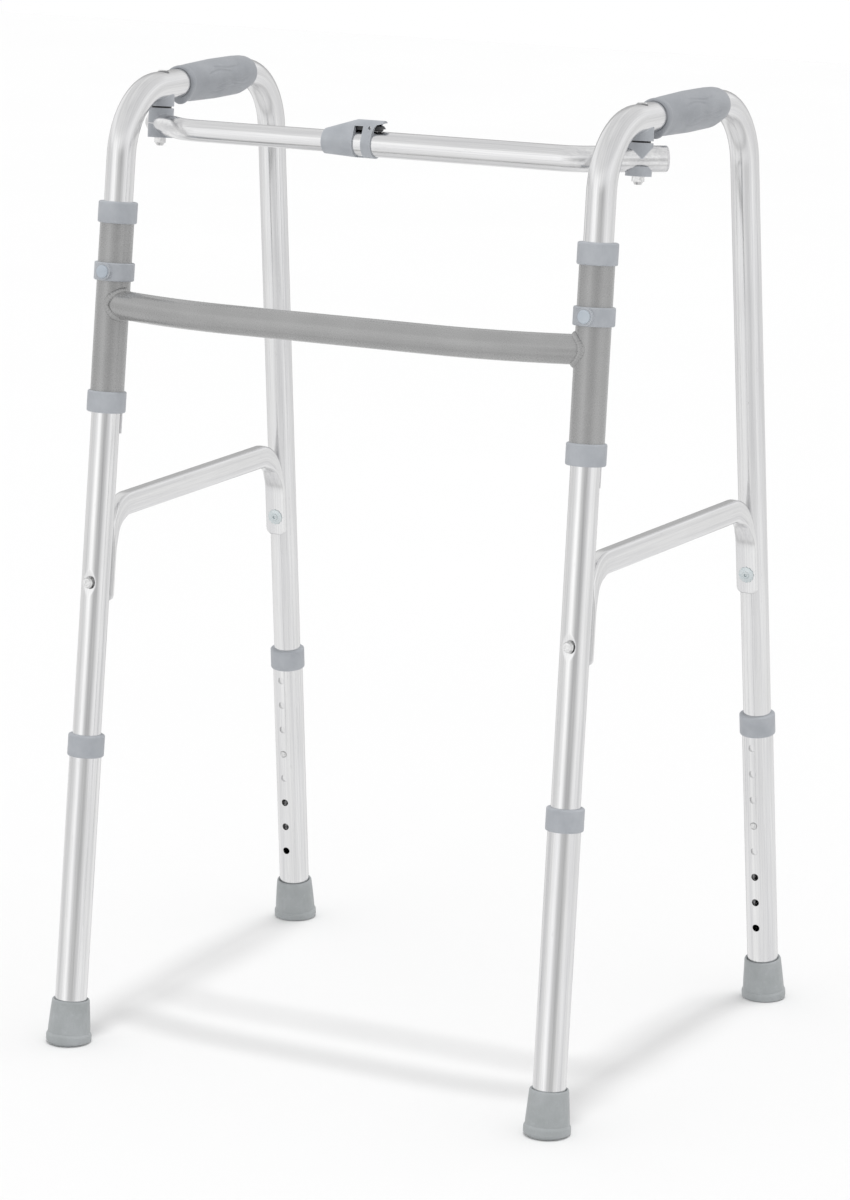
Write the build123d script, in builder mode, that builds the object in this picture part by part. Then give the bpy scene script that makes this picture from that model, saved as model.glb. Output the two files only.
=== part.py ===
from build123d import *
from math import sin, cos, tan, radians, atan2
import os

os.makedirs("parts", exist_ok=True)

# ---------------------------------------------------------------- driving dimensions, in mm
hole_pitch = 25.4
hole_count = 8
button_hole = 4                 # the hole, counted from the top, that the snap button stands in

foot_half_depth = 219.2         # half the spacing of front and rear feet, on the floor
half_width = 246.9              # side-frame plane to the middle, at the floor
toe_out = 1.63                  # degrees that a side frame opens towards the user
lean = 0.72                     # degrees that a side frame leans inwards as it rises
leg_tilt = 5.74                 # degrees that each leg leans towards the other in its side frame

frame_tube_od = 25.4
frame_tube_wall = 1.3
handle_height = 849.0           # middle of the handle tube
frame_bend = 62.0
inner_leg_end = 137.0           # where the upper tube ends inside the lower one, along the leg

lower_tube_od = 28.6
lower_tube_id = 25.58
lower_tube_start = 9.0
lower_tube_end = 272.0
first_hole = 251.3
leg_hole = 7.0

leg_collar_od = 32.8
leg_collar_middle = 271.9
leg_collar_height = 20.0

foot_top = 39.1
foot_top_od = 33.6
foot_bottom_od = 41.0

sleeve_od = 30.0
sleeve_id = 27.0
sleeve_collar_od = 34.6
sleeve_collar_height = 19.0
lower_sleeve_collar = 581.0     # collar middles, along the front leg
upper_sleeve_collar = 748.0
lock_ring_middle = 696.0
lock_ring_height = 16.0
lock_ring_od = 35.6
crossbar_level = 668.0
crossbar_od = 25.4
crossbar_bow = 25.0
crossbar_end_angle = 20.7
running_gap = 0.08

brace_level = 480.2
brace_height = 20.0
brace_width = 13.0
brace_wall = 1.6
brace_flat = 3.6
brace_flat_width = 24.0
brace_bolt_level = 419.5
brace_bend = 24.0

pivot_depth = -70.0             # bracket bolt, along the side frame's depth
bar_height = 815.5
bar_forward = 32.6              # how far the straight middle stands in front of the bolts
bar_bend_run = 44.0
bar_bend_radius = 46.0
outer_bar_od = 22.2
outer_bar_id = 19.8
inner_bar_od = 19.05
inner_bar_id = 16.6
outer_bar_start = -28.0
outer_bar_past_bolt = 22.0      # how far the outer tube runs on beyond its bolt
bush_start = 18.0
inner_bar_tip = 50.0
bar_button_x = 5.2              # middle of the bar's snap button and of the lever's pad
bracket_od = 22.4
bolt_od = 6.0
slip_top = 15.35                # upper face of the slip gap, above the bar's axis
slip_bottom = 13.65

grip_start = {"left": -39.0, "right": -44.0}     # front end, along the side frame's depth

# ---------------------------------------------------------------- frames of reference
tilt = radians(leg_tilt)
side_names = {"left": -1, "right": 1}
end_names = {"front": -1, "rear": 1}


def side_plane(sx):
    """The plane that a side frame's tubes lie in: local x is depth, local y is height."""
    toe = tan(radians(toe_out))
    rise = tan(radians(lean))
    return Plane(origin=(sx * half_width, 0, 0), x_dir=(sx * toe, 1, 0), z_dir=(1, -sx * toe, sx * rise))


def leg_point(sy, along):
    """A point on a leg's axis, in its side plane, at a distance from the floor along the leg."""
    return (sy * (foot_half_depth - along * sin(tilt)), along * cos(tilt))


def leg_plane(sx, sy):
    """The plane across a leg at the floor: local z runs up the leg, local y towards the user."""
    plane = side_plane(sx)
    axis = plane.y_dir * cos(tilt) - plane.x_dir * (sy * sin(tilt))
    return Plane(origin=plane.from_local_coords((sy * foot_half_depth, 0, 0)), x_dir=(1, 0, 0), z_dir=axis)


def leg_side_plane(sx, sy, along):
    """A plane through a leg's axis that faces the user: local y runs up the leg."""
    level = leg_plane(sx, sy).offset(along)
    return Plane(origin=level.origin, x_dir=-level.x_dir, z_dir=level.y_dir)


fold_axis = leg_plane(1, -1).z_dir
handle_ends = handle_height * tan(tilt)
front_corner = (-(foot_half_depth - handle_ends), handle_height)
rear_corner = (foot_half_depth - handle_ends, handle_height)


def pivot_plane(sx):
    """The plane across a bracket bolt at the height of the bar's axis: local z runs up the bolt."""
    centre = side_plane(sx).from_local_coords((pivot_depth, bar_height, 0))
    return Plane(origin=centre, x_dir=(1, 0, 0), z_dir=fold_axis)


pivot_x = pivot_plane(1).origin.X
pivot_y = pivot_plane(1).origin.Y
bar_plane = Plane(origin=(0, pivot_y, bar_height), x_dir=(1, 0, 0), z_dir=(0, 0, 1))
bar_angle = atan2(bar_forward, bar_bend_run)


def bar_points(sx, start, past):
    """The bar's path from a point on the straight middle to a point past its bolt."""
    corner = (sx * (pivot_x - bar_bend_run), -bar_forward)
    finish = (sx * (pivot_x + past * cos(bar_angle)), past * sin(bar_angle))
    return ((start, -bar_forward), corner, finish)


def bar_section(x):
    """A plane across the straight part of the bar: local x is towards the user, local y is up."""
    return Plane(origin=(x, pivot_y - bar_forward, bar_height), x_dir=(0, 1, 0), z_dir=(1, 0, 0))


# ---------------------------------------------------------------- side frames
for side, sx in side_names.items():
    plane = side_plane(sx)
    pivot = pivot_plane(sx)

    with BuildPart() as side_tube:
        with BuildLine(plane) as side_path:
            FilletPolyline(
                leg_point(-1, inner_leg_end), front_corner, rear_corner, leg_point(1, inner_leg_end),
                radius=frame_bend,
            )
        with BuildSketch(Plane(origin=side_path.line @ 0, z_dir=side_path.line % 0)):
            Circle(frame_tube_od / 2)
            Circle(frame_tube_od / 2 - frame_tube_wall, mode=Mode.SUBTRACT)
        sweep()
        # bracket bolt: a shank hole below, and a wider one above that the head sits down into
        with BuildSketch(pivot.offset(18)):
            Circle(bolt_od / 2 + 0.05)
        extrude(amount=20, mode=Mode.SUBTRACT)
        with BuildSketch(pivot.offset(34)):
            Circle(5.3)
        extrude(amount=16, mode=Mode.SUBTRACT)
        for sy in (-1, 1):
            # brace fastener, through both walls
            with BuildSketch(leg_side_plane(sx, sy, brace_bolt_level)):
                Circle(2.55)
            extrude(amount=20, both=True, mode=Mode.SUBTRACT)
            # snap button, through the wall that faces the middle of the side frame
            with BuildSketch(leg_side_plane(sx, sy, first_hole - (button_hole - 1) * hole_pitch)):
                Circle(3.3)
            extrude(amount=-sy * 20, mode=Mode.SUBTRACT)
    side_tube.part.label = f"{side}_side_tube"
    export_step(side_tube.part, f"parts/{side}_side_tube.step")

    # the same tube without its bore, to shape the parts that seat on it
    with BuildPart() as tube_envelope:
        with BuildLine(plane) as envelope_path:
            FilletPolyline(
                leg_point(-1, inner_leg_end), front_corner, rear_corner, leg_point(1, inner_leg_end),
                radius=frame_bend,
            )
        with BuildSketch(Plane(origin=envelope_path.line @ 0, z_dir=envelope_path.line % 0)):
            Circle(frame_tube_od / 2)
        sweep()

    # ------------------------------------------------------------ grip
    grip_origin = plane.from_local_coords((grip_start[side], handle_height, 0))
    grip_plane = Plane(origin=grip_origin, x_dir=plane.y_dir, z_dir=plane.x_dir)
    with BuildPart() as grip:
        with BuildSketch(Plane(origin=grip_plane.origin, x_dir=plane.y_dir, z_dir=-plane.z_dir)):
            with BuildLine():
                grip_front = Line((frame_tube_od / 2, 0), (15.2, 0))
                grip_back = Spline((15.2, 0), (15.4, 18), (16.6, 62), (16.2, 104), (14.9, 119), (12.7, 124))
                Line(grip_back @ 1, grip_front @ 0)
            make_face()
        revolve(axis=Axis(grip_plane.origin, plane.x_dir))
        # finger stop under the front end
        with BuildSketch(grip_plane.offset(1)):
            with Locations((-15.2, 0)):
                Ellipse(4.6, 8.0)
            Circle(frame_tube_od / 2, mode=Mode.SUBTRACT)
        extrude(amount=9)
        add(tube_envelope.part, mode=Mode.SUBTRACT)
    grip.part.label = f"{side}_grip"
    export_step(grip.part, f"parts/{side}_grip.step")

    # ------------------------------------------------------------ brace between the legs
    front_face = leg_point(-1, brace_bolt_level)[0] + frame_tube_od / 2 / cos(tilt)
    rear_face = leg_point(1, brace_bolt_level)[0] - frame_tube_od / 2 / cos(tilt)
    slope = tan(tilt)

    def brace_edge(sy, height, stand_off):
        """A point beside a leg, on its inner face, at a height and a distance off the face."""
        inner = front_face if sy < 0 else rear_face
        rise = height - brace_bolt_level * cos(tilt)
        return (inner - sy * (rise * slope + stand_off / cos(tilt)), height)

    brace_turn = brace_level - brace_bend - 4
    with BuildPart() as brace:
        with BuildLine(plane) as brace_path:
            FilletPolyline(
                brace_edge(-1, brace_turn - 2, brace_height / 2 + 0.4),
                brace_edge(-1, brace_level, brace_height / 2 + 0.4),
                brace_edge(1, brace_level, brace_height / 2 + 0.4),
                brace_edge(1, brace_turn - 2, brace_height / 2 + 0.4),
                radius=brace_bend,
            )
        brace_line = brace_path.line
        with BuildSketch(Plane(origin=brace_line @ 0, x_dir=plane.z_dir, z_dir=brace_line % 0)):
            RectangleRounded(brace_width, brace_height, brace_width / 2 - 0.4)
        sweep()
        with BuildSketch(Plane(origin=brace_line @ 0, x_dir=plane.z_dir, z_dir=brace_line % 0)):
            RectangleRounded(brace_width - 2 * brace_wall, brace_height - 2 * brace_wall,
                             brace_width / 2 - 0.4 - brace_wall)
        sweep(path=brace_line, mode=Mode.SUBTRACT)
        for sy, at in ((-1, 0), (1, 1)):
            # the tube's end squeezed flat against the leg, then a flat tongue with a rounded end
            tongue_centre = plane.from_local_coords(brace_edge(sy, brace_turn - 26, brace_flat / 2))
            across = leg_plane(sx, sy)
            along = across.z_dir
            with BuildSketch(Plane(origin=brace_line @ at, x_dir=plane.z_dir, z_dir=along)):
                RectangleRounded(brace_width, brace_height, brace_width / 2 - 0.4)
            with BuildSketch(Plane(origin=tongue_centre, x_dir=plane.z_dir, z_dir=along)):
                RectangleRounded(brace_flat_width, brace_flat, brace_flat / 2 - 0.1)
            loft()
            with BuildSketch(Plane(origin=tongue_centre, x_dir=plane.z_dir, z_dir=along)):
                RectangleRounded(brace_flat_width, brace_flat, brace_flat / 2 - 0.1)
            extrude(amount=-26)
            with BuildSketch(leg_side_plane(sx, sy, brace_bolt_level)):
                Circle(2.55)
            extrude(amount=-sy * 22, mode=Mode.SUBTRACT)
        add(tube_envelope.part, mode=Mode.SUBTRACT)
    brace.part.label = f"{side}_brace"
    export_step(brace.part, f"parts/{side}_brace.step")

    # ------------------------------------------------------------ brace fasteners
    front_bolt_plane = leg_side_plane(sx, -1, brace_bolt_level)
    with BuildPart() as brace_bolt:
        with BuildSketch(front_bolt_plane.offset(-frame_tube_od / 2 - 1.6)):
            Circle(2.5)
        extrude(amount=frame_tube_od + 1.6 + brace_flat + 5.6)
        with BuildSketch(front_bolt_plane.offset(-frame_tube_od / 2 - 1.0)):
            Circle(5.0)
        extrude(amount=-2.4, taper=24)
        with BuildSketch(front_bolt_plane.offset(frame_tube_od / 2 + brace_flat + 0.3)):
            RegularPolygon(radius=4.6, side_count=6)
        extrude(amount=4.0)
    brace_bolt.part.label = f"{side}_brace_bolt"
    export_step(brace_bolt.part, f"parts/{side}_brace_bolt.step")

    rear_screw_plane = leg_side_plane(sx, 1, brace_bolt_level)
    with BuildPart() as brace_screw:
        with BuildSketch(rear_screw_plane.offset(-frame_tube_od / 2 - brace_flat - 1.8)):
            Circle(2.5)
        extrude(amount=frame_tube_od + brace_flat + 1.8 + 4.6)
        # scalloped washer under the head
        with BuildSketch(rear_screw_plane.offset(-frame_tube_od / 2 - brace_flat - 0.3)):
            Circle(6.2)
            with PolarLocations(6.4, 10):
                Circle(0.9, mode=Mode.SUBTRACT)
        extrude(amount=-1.4)
        with BuildSketch(rear_screw_plane.offset(-frame_tube_od / 2 - brace_flat - 1.6)):
            Circle(4.2)
        extrude(amount=-2.0, taper=20)
        with BuildSketch(rear_screw_plane.offset(frame_tube_od / 2 + 0.5)):
            RegularPolygon(radius=4.6, side_count=6)
        extrude(amount=4.0)
    brace_screw.part.label = f"{side}_brace_screw"
    export_step(brace_screw.part, f"parts/{side}_brace_screw.step")

    # ------------------------------------------------------------ clip that carries the H frame's sleeve
    clip_plane = leg_plane(sx, -1)
    with BuildPart() as stop_clip:
        with BuildSketch(clip_plane.offset(lower_sleeve_collar - sleeve_collar_height / 2 - 19.5)):
            with Locations((0, frame_tube_od / 2 + 2.6)):
                RectangleRounded(15, 3.6, 1.5)
        extrude(amount=18.4)
        with BuildSketch(leg_side_plane(sx, -1, lower_sleeve_collar - sleeve_collar_height / 2 - 11)):
            Circle(4.0)
        extrude(amount=frame_tube_od / 2 + 3)
        add(tube_envelope.part, mode=Mode.SUBTRACT)
    stop_clip.part.label = f"{side}_stop_clip"
    export_step(stop_clip.part, f"parts/{side}_stop_clip.step")

    # ------------------------------------------------------------ bracket block under the handle
    with BuildPart() as bracket_block:
        with BuildSketch(pivot.offset(slip_top)):
            Circle(bracket_od / 2)
        extrude(amount=12)
        add(tube_envelope.part, mode=Mode.SUBTRACT)
        with BuildSketch(pivot.offset(slip_top - 1)):
            Circle(bolt_od / 2 + 0.05)
        extrude(amount=20, mode=Mode.SUBTRACT)
    bracket_block.part.label = f"{side}_bracket_block"
    export_step(bracket_block.part, f"parts/{side}_bracket_block.step")

# ---------------------------------------------------------------- four height-adjustable lower legs
for side, sx in side_names.items():
    for end, sy in end_names.items():
        leg = leg_plane(sx, sy)
        button_level = first_hole - (button_hole - 1) * hole_pitch

        with BuildPart() as lower_tube:
            with BuildSketch(leg.offset(lower_tube_start)):
                Circle(lower_tube_od / 2)
                Circle(lower_tube_id / 2, mode=Mode.SUBTRACT)
            extrude(amount=lower_tube_end - lower_tube_start)
            for number in range(hole_count):
                with BuildSketch(leg_side_plane(sx, sy, first_hole - number * hole_pitch)):
                    Circle(leg_hole / 2)
                extrude(amount=-sy * 20, mode=Mode.SUBTRACT)
        lower_tube.part.label = f"{side}_{end}_lower_tube"
        export_step(lower_tube.part, f"parts/{side}_{end}_lower_tube.step")

        with BuildPart() as leg_collar:
            with BuildSketch(leg.offset(leg_collar_middle - leg_collar_height / 2)):
                Circle(leg_collar_od / 2)
            extrude(amount=leg_collar_height)
            fillet(leg_collar.edges().filter_by(GeomType.CIRCLE), 1.6)
            with BuildSketch(leg.offset(leg_collar_middle - leg_collar_height / 2 - 1)):
                Circle(lower_tube_id / 2)
            extrude(amount=leg_collar_height + 2, mode=Mode.SUBTRACT)
            with BuildSketch(leg.offset(leg_collar_middle - leg_collar_height / 2 - 1)):
                Circle(lower_tube_od / 2)
            extrude(amount=lower_tube_end - leg_collar_middle + leg_collar_height / 2 + 1, mode=Mode.SUBTRACT)
        leg_collar.part.label = f"{side}_{end}_leg_collar"
        export_step(leg_collar.part, f"parts/{side}_{end}_leg_collar.step")

        with BuildPart() as foot:
            with BuildSketch(Plane(origin=leg.origin, x_dir=leg.x_dir, z_dir=-leg.y_dir)):
                with BuildLine():
                    Polyline(
                        (0, -4), (foot_bottom_od / 2 - 0.6, -4), (foot_bottom_od / 2, 2),
                        (foot_bottom_od / 2, 6.5), (foot_bottom_od / 2 - 1.3, 8), (foot_bottom_od / 2 - 1.0, 9.5),
                        (foot_top_od / 2 + 0.6, foot_top - 3), (foot_top_od / 2 - 1, foot_top),
                        (lower_tube_od / 2, foot_top), (lower_tube_od / 2, lower_tube_start),
                        (0, lower_tube_start), (0, -4),
                    )
                make_face()
            revolve(axis=Axis(leg.origin, leg.z_dir))
            # the tread is worn level with the floor
            with BuildSketch(Plane.XY.offset(-12)):
                with Locations((leg.origin.X, leg.origin.Y)):
                    Rectangle(80, 80)
            extrude(amount=12, mode=Mode.SUBTRACT)
        foot.part.label = f"{side}_{end}_foot"
        export_step(foot.part, f"parts/{side}_{end}_foot.step")

        # a V of spring strip in the upper tube, with the button on one leaf
        with BuildPart() as snap_button:
            inward = leg_side_plane(sx, sy, button_level)
            reach = -sy
            bore = frame_tube_od / 2 - frame_tube_wall - 0.05
            strip_plane = Plane(origin=inward.origin, x_dir=inward.z_dir * reach, z_dir=inward.x_dir * reach)
            with BuildSketch(strip_plane):
                with BuildLine():
                    Polyline(
                        (bore - 1.4, -9), (bore - 1.4, 7), (3, 34), (-3, 34), (-bore + 0.6, 4),
                        (-bore + 1.2, 4), (-2.5, 33.4), (2.5, 33.4), (bore - 2.2, 6.6), (bore - 2.2, -9),
                        (bore - 1.4, -9),
                    )
                make_face()
            extrude(amount=4, both=True)
            with BuildSketch(leg_side_plane(sx, sy, button_level).offset(reach * (bore - 2.0))):
                Circle(3.2)
            extrude(amount=reach * (lower_tube_od / 2 + 1.6 - bore + 2.0))
            button_end = snap_button.faces().sort_by(Axis(inward.origin, inward.z_dir * reach))[-1]
            fillet(button_end.edges(), 1.9)
        snap_button.part.label = f"{side}_{end}_snap_button"
        export_step(snap_button.part, f"parts/{side}_{end}_snap_button.step")

# ---------------------------------------------------------------- H frame: sleeves and crossbar
sleeve_start = lower_sleeve_collar - sleeve_collar_height / 2 + 2
sleeve_end = upper_sleeve_collar + sleeve_collar_height / 2 - 2

crossbar_mid = leg_plane(1, -1).offset(crossbar_level).origin
crossbar_plane = Plane(origin=(0, crossbar_mid.Y, crossbar_mid.Z), x_dir=(1, 0, 0), z_dir=(0, 0, 1))
end_angle = radians(crossbar_end_angle)
crossbar_radius = crossbar_bow / (1 - cos(end_angle))
crossbar_straight = crossbar_mid.X - crossbar_radius * sin(end_angle)

with BuildPart() as crossbar:
    with BuildLine(crossbar_plane) as crossbar_path:
        middle_run = Line((-crossbar_straight, -crossbar_bow), (crossbar_straight, -crossbar_bow))
        right_bow = JernArc((crossbar_straight, -crossbar_bow), (1, 0), crossbar_radius, crossbar_end_angle)
        left_bow = JernArc((-crossbar_straight, -crossbar_bow), (-1, 0), crossbar_radius, -crossbar_end_angle)
    with BuildSketch(Plane(origin=crossbar_path.wires()[0] @ 0, z_dir=crossbar_path.wires()[0] % 0)):
        Circle(crossbar_od / 2)
        Circle(crossbar_od / 2 - 1.4, mode=Mode.SUBTRACT)
    sweep(path=crossbar_path.wires()[0])
    for sx in (-1, 1):
        with BuildSketch(leg_plane(sx, -1).offset(crossbar_level - 40)):
            Circle(sleeve_od / 2)
        extrude(amount=80, mode=Mode.SUBTRACT)
    # what the sleeves cut off beyond themselves
    ends = crossbar.solids().sort_by(SortBy.VOLUME)[:-1]
    for piece in ends:
        add(piece, mode=Mode.SUBTRACT)
crossbar.part.label = "crossbar"
export_step(crossbar.part, "parts/crossbar.step")

for side, sx in side_names.items():
    leg = leg_plane(sx, -1)

    with BuildPart() as sleeve:
        with BuildSketch(leg.offset(sleeve_start)):
            Circle(sleeve_od / 2)
            Circle(sleeve_id / 2, mode=Mode.SUBTRACT)
        extrude(amount=sleeve_end - sleeve_start)
        # passage for the lock button's peg
        with BuildSketch(leg_side_plane(sx, -1, lock_ring_middle)):
            Circle(3.1)
        extrude(amount=-20, mode=Mode.SUBTRACT)
    sleeve.part.label = f"{side}_sleeve"
    export_step(sleeve.part, f"parts/{side}_sleeve.step")

    with BuildPart() as lock_ring:
        with BuildSketch(leg.offset(lock_ring_middle - lock_ring_height / 2)):
            Circle(lock_ring_od / 2)
        extrude(amount=lock_ring_height)
        fillet(lock_ring.edges().filter_by(GeomType.CIRCLE), 1.2)
        # raised boss that guides the button
        with BuildSketch(leg_side_plane(sx, -1, lock_ring_middle).offset(-12)):
            Circle(7.4)
        extrude(amount=-8.0)
        with BuildSketch(leg.offset(lock_ring_middle - lock_ring_height / 2 - 1)):
            Circle(sleeve_od / 2)
        extrude(amount=lock_ring_height + 2, mode=Mode.SUBTRACT)
        with BuildSketch(leg_side_plane(sx, -1, lock_ring_middle)):
            Circle(5.75)
        extrude(amount=-24, mode=Mode.SUBTRACT)
    lock_ring.part.label = f"{side}_lock_ring"
    export_step(lock_ring.part, f"parts/{side}_lock_ring.step")

    with BuildPart() as lock_button:
        with BuildSketch(leg_side_plane(sx, -1, lock_ring_middle).offset(-17.4)):
            Circle(5.7)
        extrude(amount=-4.2)
        cap = lock_button.faces().sort_by(Axis(leg.origin, -leg.y_dir))[-1]
        fillet(cap.edges(), 1.0)
        with BuildSketch(leg_side_plane(sx, -1, lock_ring_middle).offset(-15.6)):
            Circle(3.0)
        extrude(amount=-3.0)
    lock_button.part.label = f"{side}_lock_button"
    export_step(lock_button.part, f"parts/{side}_lock_button.step")

with BuildPart() as weld_beads:
    for sx in (-1, 1):
        bow_end = right_bow @ 1 if sx > 0 else left_bow @ 1
        bow_direction = right_bow % 1 if sx > 0 else left_bow % 1
        root = bow_end - bow_direction * (sleeve_od / 2 / cos(end_angle) + 0.6)
        with BuildSketch(Plane(origin=root - bow_direction * 3.2, z_dir=bow_direction)):
            Circle(crossbar_od / 2 + 0.6)
        with BuildSketch(Plane(origin=root + bow_direction * 4.5, z_dir=bow_direction)):
            Circle(crossbar_od / 2 + 2.6)
        loft()
    for sx in (-1, 1):
        with BuildSketch(leg_plane(sx, -1).offset(crossbar_level - 40)):
            Circle(sleeve_od / 2)
        extrude(amount=80, mode=Mode.SUBTRACT)
    with BuildLine(crossbar_plane) as weld_path:
        Line((-crossbar_straight, -crossbar_bow), (crossbar_straight, -crossbar_bow))
        JernArc((crossbar_straight, -crossbar_bow), (1, 0), crossbar_radius, crossbar_end_angle)
        JernArc((-crossbar_straight, -crossbar_bow), (-1, 0), crossbar_radius, -crossbar_end_angle)
    with BuildSketch(Plane(origin=weld_path.wires()[0] @ 0, z_dir=weld_path.wires()[0] % 0)):
        Circle(crossbar_od / 2)
    sweep(path=weld_path.wires()[0], mode=Mode.SUBTRACT)
weld_beads.part.label = "weld_beads"
export_step(weld_beads.part, "parts/weld_beads.step")

with BuildPart() as sleeve_collars:
    for sx in (-1, 1):
        leg = leg_plane(sx, -1)
        for middle in (lower_sleeve_collar, upper_sleeve_collar):
            start = middle - sleeve_collar_height / 2
            with BuildSketch(leg.offset(start)):
                Circle(sleeve_collar_od / 2)
            extrude(amount=sleeve_collar_height)
    fillet(sleeve_collars.edges().filter_by(GeomType.CIRCLE), 1.6)
    for sx in (-1, 1):
        leg = leg_plane(sx, -1)
        with BuildSketch(leg.offset(sleeve_start)):
            Circle(sleeve_od / 2)
        extrude(amount=sleeve_end - sleeve_start, mode=Mode.SUBTRACT)
        # a spigot inside each end of the sleeve is the bearing that turns on the leg
        for start in (sleeve_start, sleeve_end - 12):
            with BuildSketch(leg.offset(start)):
                Circle(sleeve_id / 2)
            extrude(amount=12)
        with BuildSketch(leg.offset(sleeve_start - 4)):
            Circle(frame_tube_od / 2 + running_gap)
        extrude(amount=sleeve_end - sleeve_start + 8, mode=Mode.SUBTRACT)
sleeve_collars.part.label = "sleeve_collars"
export_step(sleeve_collars.part, "parts/sleeve_collars.step")

# ---------------------------------------------------------------- telescopic top bar
with BuildPart() as bar_outer_tube:
    with BuildLine(bar_plane) as outer_path:
        FilletPolyline(*bar_points(1, outer_bar_start, outer_bar_past_bolt), radius=bar_bend_radius)
    with BuildSketch(Plane(origin=outer_path.line @ 0, z_dir=outer_path.line % 0)):
        Circle(outer_bar_od / 2)
        Circle(outer_bar_id / 2, mode=Mode.SUBTRACT)
    sweep()
    with BuildSketch(pivot_plane(1).offset(-20)):
        Circle(bolt_od / 2 + 0.05)
    extrude(amount=40, mode=Mode.SUBTRACT)
    # slot in the top wall for the snap button and the lever's pad
    with BuildSketch(Plane.XY.offset(bar_height)):
        with Locations((bar_button_x, pivot_y - bar_forward)):
            RectangleRounded(7.6, 6.8, 1.2)
    extrude(amount=14, mode=Mode.SUBTRACT)
bar_outer_tube.part.label = "bar_outer_tube"
export_step(bar_outer_tube.part, "parts/bar_outer_tube.step")

with BuildPart() as bar_inner_tube:
    with BuildLine(bar_plane) as inner_path:
        FilletPolyline(*bar_points(-1, inner_bar_tip, 13), radius=bar_bend_radius)
    with BuildSketch(Plane(origin=inner_path.line @ 0, z_dir=inner_path.line % 0)):
        Circle(inner_bar_od / 2)
        Circle(inner_bar_id / 2, mode=Mode.SUBTRACT)
    sweep()
    with BuildSketch(pivot_plane(-1).offset(-20)):
        Circle(bolt_od / 2 + 0.05)
    extrude(amount=40, mode=Mode.SUBTRACT)
    with BuildSketch(Plane.XY.offset(bar_height)):
        with Locations((bar_button_x, pivot_y - bar_forward)):
            Circle(3.0)
    extrude(amount=14, mode=Mode.SUBTRACT)
bar_inner_tube.part.label = "bar_inner_tube"
export_step(bar_inner_tube.part, "parts/bar_inner_tube.step")

with BuildPart() as bar_bush:
    with BuildSketch(bar_section(bush_start)):
        Circle(outer_bar_id / 2 - 0.05)
        Circle(inner_bar_od / 2 + 0.05, mode=Mode.SUBTRACT)
    extrude(amount=18)
bar_bush.part.label = "bar_bush"
export_step(bar_bush.part, "parts/bar_bush.step")

bar_end = outer_path.line @ 1
bar_end_direction = outer_path.line % 1
with BuildPart() as bar_end_cap:
    with BuildSketch(Plane(origin=bar_end, z_dir=bar_end_direction)):
        Circle(outer_bar_od / 2)
    extrude(amount=2.4)
    rim = bar_end_cap.faces().sort_by(Axis(bar_end, bar_end_direction))[-1]
    fillet(rim.edges(), 2.0)
    with BuildSketch(Plane(origin=bar_end, z_dir=bar_end_direction)):
        Circle(outer_bar_id / 2)
        Circle(outer_bar_id / 2 - 1.6, mode=Mode.SUBTRACT)
    extrude(amount=-8)
bar_end_cap.part.label = "bar_end_cap"
export_step(bar_end_cap.part, "parts/bar_end_cap.step")

# ---------------------------------------------------------------- swivel brackets on the bar
bar_radii = {"left": inner_bar_od / 2, "right": outer_bar_od / 2}
saddle_drop = {"left": 12.4, "right": 14.4}
for side, sx in side_names.items():
    pivot = pivot_plane(sx)
    radius = bar_radii[side]
    drop = saddle_drop[side]

    with BuildPart() as bar_envelope:
        with BuildLine(bar_plane) as bar_path:
            FilletPolyline(*bar_points(sx, sx * 120, 30), radius=bar_bend_radius)
        with BuildSketch(Plane(origin=bar_path.line @ 0, z_dir=bar_path.line % 0)):
            Circle(radius)
        sweep()

    with BuildPart() as swivel_block:
        with BuildSketch(pivot.offset(0.4)):
            Circle(bracket_od / 2)
        extrude(amount=slip_bottom - 0.4)
        add(bar_envelope.part, mode=Mode.SUBTRACT)
        with BuildSketch(pivot):
            Circle(bolt_od / 2 + 0.05)
        extrude(amount=20, mode=Mode.SUBTRACT)
    swivel_block.part.label = f"{side}_swivel_block"
    export_step(swivel_block.part, f"parts/{side}_swivel_block.step")

    with BuildPart() as lower_saddle:
        with BuildSketch(pivot.offset(-drop)):
            Circle(bracket_od / 2)
        extrude(amount=drop - 0.4 if side == "left" else drop - 6.0)
        add(bar_envelope.part, mode=Mode.SUBTRACT)
        with BuildSketch(pivot.offset(-20)):
            Circle(bolt_od / 2 + 0.05)
        extrude(amount=20, mode=Mode.SUBTRACT)
    lower_saddle.part.label = f"{side}_lower_saddle"
    export_step(lower_saddle.part, f"parts/{side}_lower_saddle.step")

    with BuildPart() as cap_nut:
        with BuildSketch(pivot.offset(-drop)):
            RegularPolygon(radius=5.9, side_count=6)
        extrude(amount=-4.6)
        with BuildSketch(pivot.offset(-drop - 4.6)):
            Circle(4.4)
        extrude(amount=-2.6, taper=32)
        with BuildSketch(pivot.offset(-drop)):
            Circle(bolt_od / 2)
        extrude(amount=-4.8, mode=Mode.SUBTRACT)
    cap_nut.part.label = f"{side}_cap_nut"
    export_step(cap_nut.part, f"parts/{side}_cap_nut.step")

    with BuildPart() as slip_washer:
        with BuildSketch(pivot.offset(slip_bottom)):
            Circle(9.0)
            Circle(bolt_od / 2 + 0.05, mode=Mode.SUBTRACT)
        extrude(amount=slip_top - slip_bottom - 0.1)
    slip_washer.part.label = f"{side}_slip_washer"
    export_step(slip_washer.part, f"parts/{side}_slip_washer.step")

head_seat = 43.6
right_pivot = pivot_plane(1)
with BuildPart() as right_pivot_bolt:
    with BuildSketch(right_pivot.offset(-saddle_drop["right"] - 4.6)):
        Circle(bolt_od / 2)
    extrude(amount=saddle_drop["right"] + 4.6 + head_seat + 0.2)
    with BuildSketch(right_pivot.offset(head_seat)):
        Circle(5.2)
    extrude(amount=3.6, taper=20)
right_pivot_bolt.part.label = "right_pivot_bolt"
export_step(right_pivot_bolt.part, "parts/right_pivot_bolt.step")

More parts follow.
